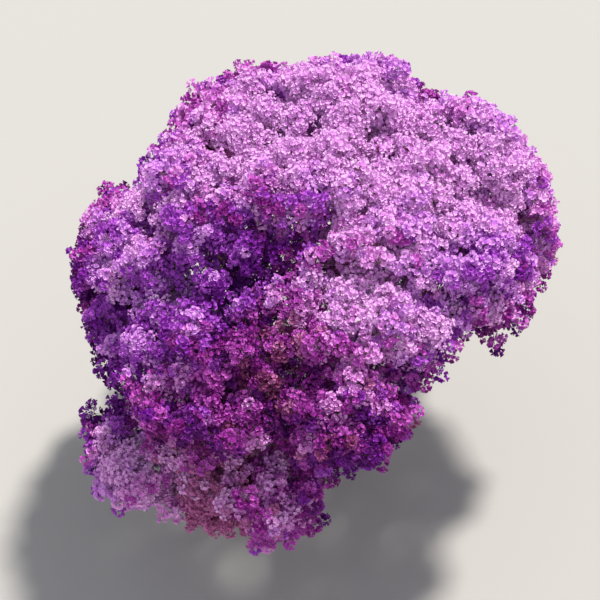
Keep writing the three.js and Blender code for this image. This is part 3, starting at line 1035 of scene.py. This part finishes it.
pieces = []
blossom_triangles = 0
for t, (name, _) in enumerate(TINTS):
    pile = Pile()
    for k, (tv, tf) in enumerate(TEMPLATES):
        pick = np.flatnonzero((tints[owner] == t) & (kind == k))
        if not len(pick):
            continue
        mouth = 0.88 + 0.3 * rng.random(len(pick))
        v = (
            base[pick][:, None]
            + (tv[None, :, 0:1] * mouth[:, None, None]) * (fa[pick] * size[pick][:, None])[:, None]
            + (tv[None, :, 1:2] * mouth[:, None, None]) * (fb[pick] * size[pick][:, None])[:, None]
            + tv[None, :, 2:3] * (face[pick] * size[pick][:, None])[:, None]
        )
        f = tf[None] + (np.arange(len(pick)) * len(tv))[:, None, None]
        pile.add(v.reshape(-1, 3), f.reshape(-1, 3))
    print(name, pile.triangles())
    blossom_triangles += pile.triangles()
    pieces.append(pile.build("blossom_" + name, tint_materials[t]))
print("blossom triangles", blossom_triangles)

# ------------------------------------------------------------------ twigs
twigs = Pile()


def chain(a, b, ra, rb, start_dir, sides, bend=0.25, parts=3):
    """A gently bent twig from a to b that leaves in start_dir."""
    d = b - a
    length = np.linalg.norm(d)
    c1 = a + unit(start_dir) * length * bend + rng.normal(0, 0.03 * length, 3)
    c2 = a + d * 0.66 + rng.normal(0, 0.05 * length, 3)
    t = np.linspace(0, 1, parts + 1)[:, None]
    pts = a * (1 - t) ** 3 + 3 * c1 * (1 - t) ** 2 * t + 3 * c2 * (1 - t) * t**2 + b * t**3
    r = ra + (rb - ra) * t[:, 0]
    v, f3, f4 = tube(pts, r, sides)
    twigs.add(v, f3, f4)
    return pts, unit(pts[-1] - pts[-2])


def grow(at, heading, group, depth=0):
    """Divides the sites between two boughlets until each has its own twig."""
    n = len(group)
    feet = np.array([s["foot"] for s in group])
    middle = feet.mean(0)
    if n == 1:
        chain(at, feet[0], 0.019, 0.011, heading, 4, parts=2)
        return
    spread_ = feet - middle
    _, _, vt = np.linalg.svd(spread_, full_matrices=False)
    key = spread_ @ vt[0]
    order_ = np.argsort(key)
    cut = n // 2 if n < 4 else int(round(n * (0.5 + rng.uniform(-0.12, 0.12))))
    cut = min(max(1, cut), n - 1)
    reach = 0.42 if depth else 0.3
    stop = at + (middle - at) * reach + rng.normal(0, 0.05, 3)
    r0 = 0.011 * n**0.42 + 0.006
    r1 = r0 * 0.86
    _, heading2 = chain(at, stop, r0, r1, heading, 6 if n > 8 else 4, parts=3)
    grow(stop, heading2, [group[i] for i in order_[:cut]], depth + 1)
    grow(stop, heading2, [group[i] for i in order_[cut:]], depth + 1)


by_mass = {}
for limb in limbs:
    by_mass.setdefault(limb.mass["name"], limb)
every = [(l, u, limb_point(l, u)) for l in limbs for u in np.linspace(0.55, 0.95, 9) if u >= l.path_u[0]]
for m in masses:
    if not m.sites:
        continue
    if m.name in by_mass:
        limb = by_mass[m.name]
        ends = [(limb_point(limb, u), unit(limb_point(limb, u) - limb_point(limb, u - 0.04))) for u in (0.80, 0.90, 1.0)]
    else:
        l, u, q = min(every, key=lambda e: np.linalg.norm(e[2] - m.middle))
        aim = unit(m.middle - q)
        start = unit(aim * 0.6 + unit(limb_point(l, min(1, u + 0.04)) - q) * 0.8)
        pts, head = chain(q, q + (m.middle - q) * 0.8, 0.055, 0.035, start, 8, parts=8)
        ends = [(pts[-4], unit(pts[-4] - pts[-5])), (pts[-2], unit(pts[-2] - pts[-3])), (pts[-1], head)]
    group = list(m.sites)
    feet = np.array([s["foot"] for s in group])
    # each end takes the sites nearest to its own direction
    spots = np.array([e[0] for e in ends])
    shares = {0: [], 1: [], 2: []}
    axis_ = ends[-1][1]
    key = (feet - spots[1]) @ axis_
    lo_, hi_ = np.quantile(key, [0.33, 0.62])
    for s_, k_ in zip(group, key):
        shares[0 if k_ < lo_ else 1 if k_ < hi_ else 2].append(s_)
    for i, (spot, head) in enumerate(ends):
        part = shares[i]
        if not part:
            continue
        f_ = np.array([s["foot"] for s in part])
        # two fans, one each side of the limb
        side_ = unit(np.cross(head, rng.normal(0, 1, 3)))
        left = [s for s in part if (s["foot"] - spot) @ side_ < 0]
        right_ = [s for s in part if (s["foot"] - spot) @ side_ >= 0]
        for sub in (left, right_):
            if sub:
                grow(spot, head, sub)

for s in limb_sites:
    q, along = s["from"]
    chain(q, s["foot"], 0.022, 0.011, unit(along + s["n"]), 5)

# stems inside each tuft
A = np.array([s[0] for s in stems])
B = np.array([s[1] for s in stems])
RA = np.array([s[2] for s in stems])
RB = np.array([s[3] for s in stems])
D = B - A
D /= np.linalg.norm(D, axis=1)[:, None] + 1e-12
H = np.where(np.abs(D[:, 2:3]) < 0.9, [[0, 0, 1.0]], [[1.0, 0, 0]])
U = np.cross(D, H)
U /= np.linalg.norm(U, axis=1)[:, None]
W = np.cross(D, U)
corners = [A + (U * math.cos(t) + W * math.sin(t)) * RA[:, None] for t in (0.0, 2.0944, 4.1888)] + [B]
V = np.stack(corners, 1)
F = np.array([[k, (k + 1) % 3, 3] for k in range(3)])[None] + (np.arange(len(A)) * 4)[:, None, None]
stem_pile = Pile()
stem_pile.add(V.reshape(-1, 3), F.reshape(-1, 3))
print("twig triangles", twigs.triangles(), "stem triangles", stem_pile.triangles())
twig_obj = twigs.build("twigs", twig_material, smooth=True)
stem_obj = stem_pile.build("stems", twig_material, smooth=True)

# ------------------------------------------------------------------ what stands for what
wood = ["trunk"] + [l.name for l in limbs]
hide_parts("trunk")
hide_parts(*[l.name for l in limbs if l.kind == "bough"])
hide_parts(*[l.name for l in limbs if l.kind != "bough"])
for p in pieces:
    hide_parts(*[m.name for m in masses])
    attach(p, "root")
for o in (twig_obj, stem_obj):
    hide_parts(*[m.name for m in masses])
for o in (trunk, bough_obj, branch_obj, twig_obj, stem_obj):
    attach(o, "root")

# ------------------------------------------------------------------ floor, light and camera
floor_mesh = bpy.data.meshes.new("floor")
# a flat round floor whose far edge curves up into a plain wall
profile = [(0, 0), (60, 0), (120, 0)] + [(120 + 620 * math.sin(t), 620 - 620 * math.cos(t)) for t in np.linspace(0.06, 0.9, 15)]
around = np.linspace(0, 2 * math.pi, 72, endpoint=False)
fv = [(0, 0, 0)] + [(r * math.cos(t), r * math.sin(t), h) for r, h in profile[1:] for t in around]
ff = [(0, 1 + i, 1 + (i + 1) % 72) for i in range(72)]
for k in range(len(profile) - 2):
    ff += [(1 + 72 * k + i, 1 + 72 * (k + 1) + i, 1 + 72 * (k + 1) + (i + 1) % 72, 1 + 72 * k + (i + 1) % 72) for i in range(72)]
floor_mesh.from_pydata(fv, [], ff)
floor_mesh.polygons.foreach_set("use_smooth", [True] * len(floor_mesh.polygons))
floor_mesh.materials.append(plain("floor", (176, 174, 170), 0.9, 0.2))
floor = bpy.data.objects.new("floor", floor_mesh)
bpy.context.scene.collection.objects.link(floor)
floor.location.z = -0.002

world = bpy.data.worlds.new("soft_sky")
bpy.context.scene.world = world
world.use_nodes = True
world.node_tree.nodes["Background"].inputs["Color"].default_value = (0.82, 0.88, 1.0, 1)
world.node_tree.nodes["Background"].inputs["Strength"].default_value = 0.63

sun_data = bpy.data.lights.new("sun", "SUN")
sun_data.energy = 4.5
sun_data.angle = math.radians(7)
sun_data.color = (1.0, 0.96, 0.9)
sun = bpy.data.objects.new("sun", sun_data)
bpy.context.scene.collection.objects.link(sun)
sun.rotation_mode = "QUATERNION"
sun.rotation_quaternion = Vector((2, 2.2, 7)).to_track_quat("Z", "Y")

cam_data = bpy.data.cameras.new("camera")
cam_data.lens = 181
cam_data.sensor_width = 36
cam_data.clip_start = 1
cam_data.clip_end = 2000
cam = bpy.data.objects.new("camera", cam_data)
bpy.context.scene.collection.objects.link(cam)
spot = Vector((8.53, -59.76, 69.0))
aim = Vector((0.1, 0.0, 7.35))
forward = (aim - spot).normalized()
right0 = forward.cross(Vector((0, 0, 1))).normalized()
up0 = right0.cross(forward)
roll = math.radians(4.9)
r_ = right0 * math.cos(roll) - up0 * math.sin(roll)
u_ = right0 * math.sin(roll) + up0 * math.cos(roll)
m = Matrix((r_, u_, -forward)).transposed().to_4x4()
m.translation = spot
cam.matrix_world = m
bpy.context.scene.camera = cam
bpy.context.scene.view_settings.view_transform = "Standard"

print("cad box", cad_lo, cad_hi)
